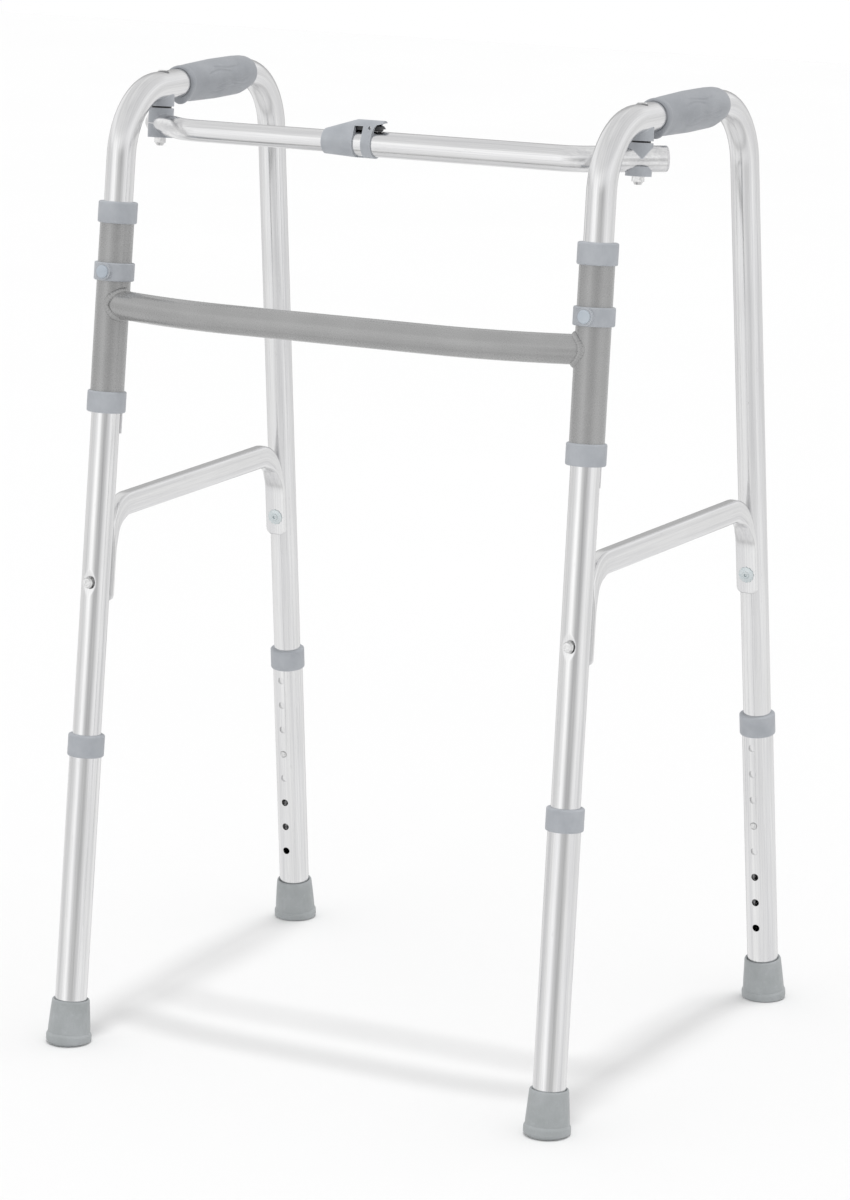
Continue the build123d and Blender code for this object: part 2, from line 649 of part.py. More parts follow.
left_pivot = pivot_plane(-1)
with BuildPart() as left_pivot_bolt:
    with BuildSketch(left_pivot.offset(slip_top)):
        Circle(bolt_od / 2)
    extrude(amount=head_seat + 0.2 - slip_top)
    with BuildSketch(left_pivot.offset(head_seat)):
        Circle(5.2)
    extrude(amount=3.6, taper=20)
left_pivot_bolt.part.label = "left_pivot_bolt"
export_step(left_pivot_bolt.part, "parts/left_pivot_bolt.step")

with BuildPart() as left_pivot_stud:
    with BuildSketch(left_pivot.offset(-saddle_drop["left"] - 4.6)):
        Circle(bolt_od / 2)
    extrude(amount=saddle_drop["left"] + 4.6 + slip_bottom)
left_pivot_stud.part.label = "left_pivot_stud"
export_step(left_pivot_stud.part, "parts/left_pivot_stud.step")

# ---------------------------------------------------------------- latch on the telescopic bar
latch_mouth = -47.4
latch_shoulder = -16.5
latch_band_start = -7.9
latch_band_end = 1.3
latch_tip = 9.5
latch_roof = 20.4
latch_radius = outer_bar_od / 2 + 1.5
roof_radius = 7.2
pin_x = -1.5
pin_level = bar_height + 14.2
bar_y = pivot_y - bar_forward
latch_side = Plane.XZ.offset(-bar_y)

with BuildPart() as latch_housing:
    with BuildSketch(bar_section(latch_mouth)):
        Circle(inner_bar_od / 2 + 1.6)
    with BuildSketch(bar_section(latch_shoulder)):
        Circle(latch_radius)
        with Locations((0, latch_roof - roof_radius)):
            Circle(roof_radius)
        make_hull()
    loft()
    with BuildSketch(bar_section(latch_shoulder)):
        Circle(latch_radius)
        with Locations((0, latch_roof - roof_radius)):
            Circle(roof_radius)
        make_hull()
    extrude(amount=latch_tip - latch_shoulder)
    # bore for the bar, and the hollow of the roof that the lever lies in
    with BuildSketch(bar_section(latch_mouth - 1)):
        Circle(inner_bar_od / 2 + 0.08)
    extrude(amount=latch_tip - latch_mouth + 2, mode=Mode.SUBTRACT)
    with BuildSketch(bar_section(latch_shoulder - 13.5)):
        Circle(outer_bar_od / 2)
    extrude(amount=latch_tip - latch_shoulder + 15.5, mode=Mode.SUBTRACT)
    with BuildSketch(bar_section(latch_shoulder - 2)):
        with Locations((0, 8.8)):
            Rectangle(9.6, 16)
    extrude(amount=latch_tip - latch_shoulder + 4, mode=Mode.SUBTRACT)
    # window between the cone and the band, open at the front and below
    with BuildSketch(latch_side):
        with Locations(((latch_shoulder + latch_band_start) / 2, bar_height - 1)):
            Rectangle(latch_band_start - latch_shoulder, 33)
    extrude(amount=20, mode=Mode.SUBTRACT)
    # beyond the band only the roof goes on, ending in a thin tab
    with BuildSketch(latch_side):
        with BuildLine():
            Polyline(
                (latch_band_end, bar_height - 16), (latch_band_end, bar_height + 10),
                (latch_band_end + 1.4, bar_height + 14.6), (latch_band_end + 3.6, bar_height + 17.2),
                (latch_tip + 2, bar_height + 18.4), (latch_tip + 2, bar_height - 16),
                (latch_band_end, bar_height - 16),
            )
        make_face()
    extrude(amount=30, both=True, mode=Mode.SUBTRACT)
    # lug under the roof that carries the lever's pin
    with BuildSketch(latch_side):
        with Locations((pin_x, pin_level + 1.2)):
            RectangleRounded(6, 7.2, 2.4)
    extrude(amount=1.4, both=True)
    with BuildSketch(latch_side):
        with Locations((pin_x, pin_level)):
            Circle(1.5)
    extrude(amount=12, both=True, mode=Mode.SUBTRACT)
latch_housing.part.label = "latch_housing"
export_step(latch_housing.part, "parts/latch_housing.step")

with BuildPart() as latch_pin:
    with BuildSketch(latch_side):
        with Locations((pin_x, pin_level)):
            Circle(1.5)
    extrude(amount=5.2, both=True)
latch_pin.part.label = "latch_pin"
export_step(latch_pin.part, "parts/latch_pin.step")

with BuildPart() as latch_lever:
    with BuildSketch(latch_side):
        with BuildLine():
            Polyline(
                (-17, bar_height + 11.9), (-17, bar_height + 14.2), (-6, bar_height + 16.0),
                (3, bar_height + 16.2), (6.4, bar_height + 15.2), (8.2, bar_height + 12.9),
                (-4, bar_height + 11.9), (-17, bar_height + 11.9),
            )
        make_face()
    extrude(amount=4.5, both=True)
    # pad that presses the bar's snap button
    with BuildSketch(Plane.XY.offset(bar_height + 11.45)):
        with Locations((bar_button_x, bar_y)):
            Circle(2.5)
    extrude(amount=2.5)
    with BuildSketch(latch_side):
        with Locations((pin_x, pin_level)):
            Rectangle(8.4, 10)
    extrude(amount=1.7, both=True, mode=Mode.SUBTRACT)
    with BuildSketch(latch_side):
        with Locations((pin_x, pin_level)):
            Circle(1.5 + 0.05)
    extrude(amount=12, both=True, mode=Mode.SUBTRACT)
latch_lever.part.label = "latch_lever"
export_step(latch_lever.part, "parts/latch_lever.step")

with BuildPart() as bar_snap_button:
    bar_bore = inner_bar_id / 2 - 0.05
    with BuildSketch(latch_side.shift_origin((bar_button_x, bar_y, bar_height))):
        with BuildLine():
            Polyline(
                (7, bar_bore - 1.0), (-7, bar_bore - 1.0), (-28, 2.2), (-28, -2.2), (-4, -bar_bore + 0.5),
                (-4, -bar_bore + 1.1), (-27.4, -1.6), (-27.4, 1.6), (-6.8, bar_bore - 1.7),
                (7, bar_bore - 1.7), (7, bar_bore - 1.0),
            )
        make_face()
    extrude(amount=3.2, both=True)
    with BuildSketch(Plane.XY.offset(bar_height + bar_bore - 1.6)):
        with Locations((bar_button_x, bar_y)):
            Circle(2.9)
    extrude(amount=outer_bar_od / 2 - bar_bore + 1.6)
    button_top = bar_snap_button.faces().sort_by(Axis.Z)[-1]
    fillet(button_top.edges(), 1.5)
bar_snap_button.part.label = "bar_snap_button"
export_step(bar_snap_button.part, "parts/bar_snap_button.step")
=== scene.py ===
"""Looks for the folding walking frame: studio, finishes, and the pieces worked out as surfaces."""

import math

import bpy
import numpy as np
from mathutils import Matrix, Vector


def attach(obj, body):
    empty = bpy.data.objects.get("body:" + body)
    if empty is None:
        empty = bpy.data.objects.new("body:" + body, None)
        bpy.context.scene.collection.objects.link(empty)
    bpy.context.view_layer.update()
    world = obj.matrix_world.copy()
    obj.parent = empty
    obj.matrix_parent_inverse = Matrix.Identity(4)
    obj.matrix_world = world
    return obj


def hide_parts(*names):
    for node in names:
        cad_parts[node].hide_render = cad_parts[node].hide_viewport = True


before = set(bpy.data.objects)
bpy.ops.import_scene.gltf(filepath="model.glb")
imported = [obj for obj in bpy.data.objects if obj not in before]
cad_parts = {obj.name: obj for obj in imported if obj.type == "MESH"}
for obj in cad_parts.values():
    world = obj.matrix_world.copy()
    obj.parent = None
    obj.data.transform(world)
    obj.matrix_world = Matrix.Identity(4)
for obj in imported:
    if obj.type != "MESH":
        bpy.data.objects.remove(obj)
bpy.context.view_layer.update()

# ---------------------------------------------------------------- the frame's own sizes, in mm
half_width = 246.9
toe_out = math.tan(math.radians(1.63))
lean = math.tan(math.radians(0.72))
tilt = math.radians(5.74)
foot_half_depth = 219.2
tube_radius = 12.7
tube_bore = 11.4
handle_height = 849.0
handle_bend = 62.0
inner_leg_end = 137.0
fastener_level = 419.5
brace_level = 480.2
brace_bend = 24.0
pivot_depth = -70.0
bar_height = 815.5
crossbar_level = 668.0
crossbar_turn = math.radians(20.7)
crossbar_radius = 12.7
sleeve_radius = 15.0
air_gap = 0.15                  # how far pieces that lie on each other stand apart
bolt_top_depth = pivot_depth + (handle_height - bar_height) * math.tan(tilt)
sides = {"left": -1, "right": 1}
ends = {"front": -1, "rear": 1}


def unit(v):
    """A vector, or each row of a list of vectors, divided by its length."""
    v = np.asarray(v, float)
    return v / np.linalg.norm(v, axis=-1, keepdims=True)


def side_axes(sx):
    """Origin, depth direction, height direction and outward direction of a side frame's plane."""
    depth = unit([sx * toe_out, 1.0, 0.0])
    outward = unit([1.0, -sx * toe_out, sx * lean])
    return np.array([sx * half_width, 0.0, 0.0]), depth, np.cross(outward, depth), outward


def on_side(sx, flat):
    """Points of a side frame's plane, from depth and height, in space: origin + depth * d + height * h."""
    origin, depth, up, _ = side_axes(sx)
    flat = np.asarray(flat, float)
    return origin + flat[..., :1] * depth + flat[..., 1:] * up


def leg_point(sy, along):
    """Depth and height of a point on a leg's axis, at a distance from the floor along the leg."""
    return np.array([sy * (foot_half_depth - along * math.sin(tilt)), along * math.cos(tilt)])


def leg_axes(sx, sy):
    """Origin on the floor, direction up the leg, and the two directions across it (about X, about Y)."""
    origin, depth, up, _ = side_axes(sx)
    axis = up * math.cos(tilt) - depth * (sy * math.sin(tilt))
    across = unit(np.array([1.0, 0.0, 0.0]) - axis * axis[0])
    return origin + depth * sy * foot_half_depth, axis, across, np.cross(axis, across)


# ---------------------------------------------------------------- surfaces
def bent_line(corners, radius, step=1.0):
    """Points along straight runs joined by arcs. Each corner is cut back by radius * tan(half its turn); an
    arc's points are centre + cos(t) * (start - centre) + sin(t) * radius * direction of travel."""
    corners = [np.asarray(c, float) for c in corners]
    runs, start = [], corners[0]
    for before, at, after in zip(corners, corners[1:], corners[2:]):
        a, b = unit(at - before), unit(after - at)
        turn = math.acos(float(a @ b))
        enter, leave = at - a * radius * math.tan(turn / 2), at + b * radius * math.tan(turn / 2)
        count = max(int(np.linalg.norm(enter - start) / step), 1)
        runs.append(start + (enter - start) * np.linspace(0, 1, count, endpoint=False)[:, None])
        centre = at + unit(b - a) * radius / math.cos(turn / 2)
        t = np.linspace(0, turn, max(int(radius * turn / step), 3), endpoint=False)[:, None]
        runs.append(centre + (enter - centre) * np.cos(t) + a * radius * np.sin(t))
        start = leave
    count = max(int(np.linalg.norm(corners[-1] - start) / step), 2)
    runs.append(start + (corners[-1] - start) * np.linspace(0, 1, count)[:, None])
    return np.vstack(runs)


def distances(points):
    """Distance along a line of points, from its first point."""
    return np.concatenate([[0.0], np.cumsum(np.linalg.norm(np.diff(points, axis=0), axis=1))])


def stations(points, where):
    """Points and directions of a finely stepped line at the distances given."""
    s = distances(points)
    direction = unit(np.gradient(points, s, axis=0))
    place = np.stack([np.interp(where, s, points[:, k]) for k in range(points.shape[1])], 1)
    heading = np.stack([np.interp(where, s, direction[:, k]) for k in range(points.shape[1])], 1)
    return place, unit(heading)


def graded(length, coarse, fine, spots, reach):
    """Distances from 0 to length, a coarse step apart, and a fine step apart within reach of each spot."""
    parts = [np.arange(0, length, coarse), [length]]
    parts += [np.arange(max(spot - reach, 0), min(spot + reach, length), fine) for spot in spots]
    where = np.unique(np.round(np.concatenate(parts), 3))
    return where[np.concatenate([[True], np.diff(where) > 0.3 * fine])]


def grid_piece(name, points, grain=None, close_rows=False, close_columns=True, caps=False):
    """A mesh from a grid of points in mm, rows by columns, one face between each four neighbours. Rows or
    columns may close on themselves, and caps join the first and last rows to their own middles. Grain is
    each point's place in the piece's own frame: two lengths across and one along, for patterns that follow
    the shape."""
    rows, columns, _ = points.shape
    flat = points.reshape(-1, 3) * 0.001
    grain = (points if grain is None else grain).reshape(-1, 3) * 0.001
    r = np.arange(rows if close_rows else rows - 1)
    c = np.arange(columns if close_columns else columns - 1)
    r, c = [a.ravel() for a in np.meshgrid(r, c, indexing="ij")]
    r2, c2 = (r + 1) % rows, (c + 1) % columns
    quads = np.stack([r * columns + c, r * columns + c2, r2 * columns + c2, r2 * columns + c], 1)
    faces = quads.tolist()
    if caps:
        flat = np.vstack([flat, points[0].mean(0) * 0.001, points[-1].mean(0) * 0.001])
        grain = np.vstack([grain, grain[:columns].mean(0), grain[-columns:].mean(0)])
        around = np.arange(columns)
        nxt = (around + 1) % columns
        base = (rows - 1) * columns
        first = np.stack([np.full(columns, rows * columns), nxt, around], 1)
        last = np.stack([np.full(columns, rows * columns + 1), base + around, base + nxt], 1)
        faces += first.tolist() + last.tolist()
    mesh = bpy.data.meshes.new(name)
    mesh.from_pydata(flat.tolist(), [], faces)
    mesh.attributes.new("grain", "FLOAT_VECTOR", "POINT").data.foreach_set("vector", grain.ravel())
    mesh.polygons.foreach_set("use_smooth", np.ones(len(mesh.polygons), bool))
    mesh.update()
    volume = signed_volume(flat, mesh)
    if volume < 0:
        mesh.flip_normals()
    piece = bpy.data.objects.new(name, mesh)
    bpy.context.scene.collection.objects.link(piece)
    return piece


def signed_volume(points, mesh):
    """Sum over the triangles of corner . (corner x corner) / 6: positive where the faces point outwards."""
    mesh.calc_loop_triangles()
    corners = np.zeros(len(mesh.loop_triangles) * 3, np.int32)
    mesh.loop_triangles.foreach_get("vertices", corners)
    a, b, c = points[corners.reshape(-1, 3)].transpose(1, 0, 2)
    return float(np.einsum("ij,ij->i", a, np.cross(b, c)).sum() / 6)


def carry(piece, body, slot, finish, *nodes):
    """Puts a finished piece on its body, in place of its CAD nodes, with its finish. The slot is not used."""
    piece.data.materials.append(finish)
    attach(piece, body)
    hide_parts(*nodes)
    return piece


def swept(line, flat_normal, where, ring):
    """Points of a section carried along a line in a plane: place + across * ring's first + normal * ring's
    second. The section's first direction is the plane's normal x heading, its second is that normal."""
    place, heading = stations(line, where)
    across = np.cross(flat_normal, heading)
    return place[:, None] + ring[..., :1] * across[:, None] + ring[..., 1:] * flat_normal


# ---------------------------------------------------------------- finishes
def put(tree, kind, inputs=None, **settings):
    """A node in a material's tree, with its settings. Each input is a value or another node's socket."""
    made = tree.nodes.new(kind)
    for key, value in settings.items():
        setattr(made, key, value)
    for key, value in (inputs or {}).items():
        if isinstance(value, bpy.types.NodeSocket):
            tree.links.new(value, made.inputs[key])
        else:
            made.inputs[key].default_value = value
    return made


def sum_of(tree, kind, a, b):
    """One arithmetic step between two sockets or numbers."""
    return put(tree, "ShaderNodeMath", {0: a, 1: b}, operation=kind).outputs[0]


def dot(tree, a, b):
    """The dot product of two vectors, each a socket or three numbers."""
    return put(tree, "ShaderNodeVectorMath", {0: a, 1: b}, operation="DOT_PRODUCT").outputs["Value"]


def blend_over(tree, amount, under, over):
    """One colour laid over another, by an amount from 0 to 1."""
    made = put(tree, "ShaderNodeMix", {"Factor": amount}, data_type="RGBA")
    for key, value in ((6, under), (7, over)):
        if isinstance(value, bpy.types.NodeSocket):
            tree.links.new(value, made.inputs[key])
        else:
            made.inputs[key].default_value = (*value, 1)
    return made.outputs[2]


def spread(tree, value, low, high, to_low=0.0, to_high=1.0):
    """A value between low and high, mapped between two others and held there beyond them."""
    return put(tree, "ShaderNodeMapRange", {0: value, 1: low, 2: high, 3: to_low, 4: to_high}).outputs[0]


def mottle(tree, place, scale, detail=2.0, rough=0.5):
    """Soft noise, 0 to 1, at so many marks to the metre."""
    settings = {"Vector": place, "Scale": scale, "Detail": detail, "Roughness": rough}
    return put(tree, "ShaderNodeTexNoise", settings).outputs[0]


def own_place(tree, grain=False, turn=(0, 0, 0), stretch=(1, 1, 1)):
    """A piece's own coordinates, turned and stretched: its grain attribute, or its Object coordinates."""
    if grain:
        source = put(tree, "ShaderNodeAttribute", attribute_name="grain").outputs["Vector"]
    else:
        source = put(tree, "ShaderNodeTexCoord").outputs["Object"]
    turned = put(tree, "ShaderNodeMapping", {"Vector": source, "Rotation": turn})
    return put(tree, "ShaderNodeMapping", {"Vector": turned.outputs[0], "Scale": stretch}).outputs[0]


def edges(tree, radius):
    """0 on flat surfaces, rising to 1 on edges: how far the rounded normal leans from the true one."""
    rounded = put(tree, "ShaderNodeBevel", {"Radius": radius}, samples=4).outputs[0]
    true = put(tree, "ShaderNodeNewGeometry").outputs["Normal"]
    return spread(tree, dot(tree, rounded, true), 0.96, 0.80)


def start_finish(name, **constants):
    """A new material with its shader; constants go straight on the shader's sockets."""
    made = bpy.data.materials.new(name)
    made.use_nodes = True
    shader = made.node_tree.nodes["Principled BSDF"]
    for key, value in constants.items():
        shader.inputs[key.replace("_", " ")].default_value = value
    return made, made.node_tree, shader


def finish_with(tree, shader, colour, roughness, height, depth):
    """Joins colour, roughness and a bump of so many metres to the shader."""
    tree.links.new(colour, shader.inputs["Base Color"])
    tree.links.new(roughness, shader.inputs["Roughness"])
    bump = put(tree, "ShaderNodeBump", {"Height": height, "Distance": depth, "Strength": 1.0})
    tree.links.new(bump.outputs[0], shader.inputs["Normal"])


def drawn_aluminium(name, grain=False, turn=(0, 0, 0), cloudiness=0.22):
    """Drawn and polished aluminium tube: fine draw lines and broad bands along it, clouds, scuffs."""
    made, tree, shader = start_finish(name, Metallic=1.0)
    along = own_place(tree, grain, turn, (1, 1, 0.012))
    lines = mottle(tree, along, 900, 3, 0.6)
    bands = mottle(tree, along, 150, 1)
    clouds = mottle(tree, own_place(tree, grain, turn, (1, 1, 0.3)), 38, 3)
    scuffs = mottle(tree, own_place(tree, grain, turn, (1, 1, 0.25)), 420, 2, 0.7)
    worn = spread(tree, scuffs, 0.66, 0.78)
    streaks = sum_of(tree, "ADD", sum_of(tree, "MULTIPLY", lines, 0.5), sum_of(tree, "MULTIPLY", bands, 0.5))
    shade = spread(tree, streaks, 0.33, 0.62)
    clean = blend_over(tree, shade, (0.71, 0.71, 0.725), (0.90, 0.90, 0.90))
    cloudy = blend_over(tree, spread(tree, clouds, 0.4, 0.8, 0, cloudiness), clean, (0.66, 0.655, 0.65))
    colour = blend_over(tree, sum_of(tree, "MULTIPLY", worn, 0.3), cloudy, (0.58, 0.58, 0.59))
    fine_rough = spread(tree, lines, 0.3, 0.7, 0.13, 0.21)
    rough = sum_of(tree, "ADD", fine_rough, spread(tree, clouds, 0.4, 0.7, 0.0, 0.06))
    rough = sum_of(tree, "ADD", rough, sum_of(tree, "MULTIPLY", worn, 0.1))
    finish_with(tree, shader, colour, rough, lines, 0.00002)
    return made


def moulded_plastic(name, dark, light, gloss, edge=(0.80, 0.82, 0.86)):
    """Moulded nylon: slight cloudiness, spark-eroded texture, paler edges that are partly rubbed wear and
    partly a painted highlight, dull scuffs.
    """
    made, tree, shader = start_finish(name, Specular_IOR_Level=0.45)
    place = own_place(tree)
    clouds = mottle(tree, place, 60, 3)
    speck = mottle(tree, place, 2600, 2, 0.6)
    scuffs = spread(tree, mottle(tree, own_place(tree, stretch=(1, 1, 4)), 210, 3, 0.65), 0.60, 0.74)
    body = blend_over(tree, spread(tree, clouds, 0.3, 0.7), dark, light)
    speckled = blend_over(tree, spread(tree, speck, 0.5, 0.8, 0, 0.16), body, edge)
    # edges laid paler: partly rubbed wear, partly a painted highlight in the colour
    rubbed_and_highlit = blend_over(tree, sum_of(tree, "MULTIPLY", edges(tree, 0.0007), 0.55), speckled, edge)
    colour = blend_over(tree, sum_of(tree, "MULTIPLY", scuffs, 0.18), rubbed_and_highlit, tuple(0.8 * v for v in dark))
    speck_rough = spread(tree, speck, 0.3, 0.7, gloss, gloss + 0.12)
    rough = sum_of(tree, "ADD", speck_rough, sum_of(tree, "MULTIPLY", scuffs, 0.12))
    finish_with(tree, shader, colour, rough, speck, 0.00004)
    return made


def sprayed_paint(name, dark, light):
    """Grey spray paint: orange-peel surface, fine metallic fleck, dust nibs, edges paler, partly rubbed wear
    and partly a painted highlight.
    """
    made, tree, shader = start_finish(name, Metallic=0.45, Specular_IOR_Level=0.5,
                                      Coat_Weight=0.6, Coat_Roughness=0.12)
    place = own_place(tree)
    peel = mottle(tree, place, 420, 2)
    fleck = mottle(tree, place, 3200, 1)
    clouds = mottle(tree, place, 22, 3)
    nibs = spread(tree, mottle(tree, place, 700, 2, 0.7), 0.70, 0.78)
    body = blend_over(tree, spread(tree, clouds, 0.3, 0.7), dark, light)
    flecked = blend_over(tree, spread(tree, fleck, 0.5, 0.85, 0, 0.07), body, (0.55, 0.56, 0.55))
    # edges laid paler: partly rubbed wear, partly a painted highlight in the colour
    rubbed_and_highlit = blend_over(tree, sum_of(tree, "MULTIPLY", edges(tree, 0.0008), 0.4), flecked, (0.60, 0.61, 0.61))
    colour = blend_over(tree, sum_of(tree, "MULTIPLY", nibs, 0.25), rubbed_and_highlit, (0.30, 0.30, 0.29))
    rough = sum_of(tree, "ADD", spread(tree, peel, 0.3, 0.7, 0.25, 0.31), sum_of(tree, "MULTIPLY", nibs, 0.1))
    height = sum_of(tree, "ADD", peel, sum_of(tree, "MULTIPLY", nibs, 0.6))
    finish_with(tree, shader, colour, rough, height, 0.000006)
    return made


def soft_vinyl(name, dark, light, gloss, grain=False):
    """Soft vinyl or rubber: leathery pebble, dusty patches, slight sheen, painted shade darkening the
    pebble's hollows.
    """
    made, tree, shader = start_finish(name, Specular_IOR_Level=0.35, Sheen_Weight=0.12, Sheen_Roughness=0.5)
    place = own_place(tree, grain)
    pebble = put(tree, "ShaderNodeTexVoronoi", {"Vector": place, "Scale": 900.0}).outputs["Distance"]
    clouds = mottle(tree, place, 45, 4)
    dust = spread(tree, mottle(tree, place, 160, 3, 0.6), 0.52, 0.75)
    body = blend_over(tree, spread(tree, clouds, 0.3, 0.7), dark, light)
    dust_colour = tuple(min(v * 1.35, 1) for v in light)
    dusty = blend_over(tree, sum_of(tree, "MULTIPLY", dust, 0.22), body, dust_colour)
    # painted shade: colour darkened where the pebble bump is lowest, in its hollows
    colour = blend_over(tree, spread(tree, pebble, 0.55, 0.15, 0, 0.16), dusty, tuple(0.75 * v for v in dark))
    pebble_rough = spread(tree, pebble, 0.1, 0.6, gloss + 0.1, gloss)
    rough = sum_of(tree, "ADD", pebble_rough, sum_of(tree, "MULTIPLY", dust, 0.1))
    height = sum_of(tree, "ADD", pebble, sum_of(tree, "MULTIPLY", clouds, 0.8))
    finish_with(tree, shader, colour, rough, height, 0.00006)
    return made


def plated_steel(name, dark, light, rough_low, rough_high):
    """Plated or stainless hardware: crystalline mottling, uneven polish, edges brighter, partly rubbed wear
    and partly a painted highlight.
    """
    made, tree, shader = start_finish(name, Metallic=1.0)
    place = own_place(tree)
    crystal = put(tree, "ShaderNodeTexVoronoi", {"Vector": place, "Scale": 1500.0}).outputs["Color"]
    patch = mottle(tree, place, 380, 3)
    crystals = sum_of(tree, "MULTIPLY", crystal, 0.35)
    mixed = sum_of(tree, "ADD", crystals, sum_of(tree, "MULTIPLY", patch, 0.65))
    body = blend_over(tree, spread(tree, mixed, 0.3, 0.7), dark, light)
    # edges laid brighter: partly rubbed wear, partly a painted highlight in the colour
    colour = blend_over(tree, sum_of(tree, "MULTIPLY", edges(tree, 0.0004), 0.5), body, (0.9, 0.9, 0.9))
    finish_with(tree, shader, colour, spread(tree, patch, 0.3, 0.7, rough_low, rough_high), patch, 0.00003)
    return made


tube_metal = drawn_aluminium("drawn_aluminium_tube", grain=True)
bar_metal = drawn_aluminium("drawn_aluminium_bar", turn=(0, math.radians(90), 0), cloudiness=0.1)
leg_metals = {}
for side_name, sx in sides.items():
    for end_name, sy in ends.items():
        axis = leg_axes(sx, sy)[1]
        swing = Vector(axis).rotation_difference(Vector((0, 0, 1))).to_euler()
        metal_name = f"drawn_aluminium_{side_name}_{end_name}_leg"
        leg_metals[side_name, end_name] = drawn_aluminium(metal_name, turn=swing)
collar_plastic = moulded_plastic(
    "blue_grey_collar_plastic", (0.375, 0.395, 0.425), (0.445, 0.465, 0.495), 0.36)
button_plastic = moulded_plastic("pale_blue_button_plastic", (0.42, 0.47, 0.53), (0.50, 0.55, 0.60), 0.32)
clip_plastic = moulded_plastic("pale_clip_plastic", (0.55, 0.55, 0.56), (0.66, 0.66, 0.67), 0.35)
black_plastic = moulded_plastic(
    "black_latch_plastic", (0.018, 0.018, 0.02), (0.035, 0.035, 0.037), 0.3, (0.16, 0.16, 0.17))
pale_nylon = moulded_plastic("natural_nylon", (0.62, 0.61, 0.58), (0.72, 0.71, 0.68), 0.35)
frame_paint = sprayed_paint("grey_frame_paint", (0.345, 0.345, 0.345), (0.385, 0.385, 0.385))
weld_paint = sprayed_paint("painted_weld", (0.33, 0.33, 0.33), (0.39, 0.39, 0.39))
grip_vinyl = soft_vinyl("grey_grip_vinyl", (0.30, 0.315, 0.34), (0.355, 0.37, 0.395), 0.46)
foot_rubber = soft_vinyl("grey_foot_rubber", (0.35, 0.37, 0.375), (0.41, 0.43, 0.44), 0.5)
zinc_steel = plated_steel("blue_zinc_steel", (0.58, 0.645, 0.665), (0.78, 0.82, 0.83), 0.22, 0.38)
# painted shade: the handle screw is bright steel, darkened here to stand for the shade seen on it
shade_darkened_steel = plated_steel("shade_darkened_steel", (0.16, 0.16, 0.165), (0.34, 0.34, 0.35), 0.25, 0.4)
bright_steel = plated_steel("bright_steel", (0.62, 0.62, 0.62), (0.86, 0.86, 0.86), 0.14, 0.26)
cap_metal = plated_steel("cast_aluminium", (0.66, 0.66, 0.67), (0.82, 0.82, 0.83), 0.24, 0.36)

node_finishes = {
    "sleeve_collars": collar_plastic, "latch_housing": collar_plastic, "lock_ring": collar_plastic,
    "leg_collar": collar_plastic, "bracket_block": collar_plastic, "swivel_block": collar_plastic,
    "lower_saddle": collar_plastic, "lock_button": button_plastic, "stop_clip": clip_plastic,
    "latch_lever": black_plastic, "slip_washer": black_plastic, "bar_bush": pale_nylon,
    "crossbar": frame_paint, "_sleeve": frame_paint, "weld_beads": weld_paint,
    "grip": grip_vinyl, "foot": foot_rubber, "brace_screw": zinc_steel,
    "brace_bolt": bright_steel, "pivot_bolt": bright_steel, "pivot_stud": bright_steel,
    "cap_nut": bright_steel, "latch_pin": bright_steel, "snap_button": bright_steel, "bar_end_cap": cap_metal,
    "bar_outer_tube": bar_metal, "bar_inner_tube": bar_metal, "side_tube": tube_metal, "brace": tube_metal,
}
for node_name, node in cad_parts.items():
    if node_name.endswith("lower_tube"):
        made = leg_metals[tuple(node_name.split("_")[:2])]
    else:
        made = node_finishes[next(k for k in node_finishes if node_name.endswith(k))]
    node.data.materials.clear()
    node.data.materials.append(made)


# ---------------------------------------------------------------- side frame tubes
def scooped(radius, where, angle, scoops):
    """Outer radius over a grid of distance and angle. Each scoop is a flat cut: the radius is held to
    (radius - depth * (1 - (distance / half length)^2)^2) / cos(angle from the scoop's middle)."""
    out = np.full((len(where), len(angle)), radius)
    for at, facing, depth, half_length in scoops:
        cut = depth * np.clip(1 - ((where - at) / half_length) ** 2, 0, None) ** 2
        slant = np.clip(np.cos(angle - facing), 0.35, None)
        out = np.minimum(out, (radius - cut)[:, None] / slant)
    return out


def hollow_tube(name, line, normal, where, outer, bore, angle):
    """A tube with a wall, swept on a line in a plane: the outer grid, then the bore's grid in the opposite
    order, so that the rows close at both rims."""
    round_ring = np.stack([np.cos(angle), np.sin(angle)], 1)
    outside = swept(line, normal, where, outer[..., None] * round_ring)
    inside_where = where[::-1][::3] if len(where) > 30 else where[::-1]
    inside_where = np.concatenate([[where[-1]], inside_where[1:-1], [where[0]]])
    inside = swept(line, normal, inside_where, np.full((len(inside_where), 1, 1), bore) * round_ring)
    along = np.concatenate([where, inside_where])
    grain = np.empty((len(along), len(angle), 3))
    grain[..., :2] = tube_radius * round_ring
    grain[..., 2] = along[:, None]
    return grid_piece(name, np.concatenate([outside, inside]), grain, close_rows=True)


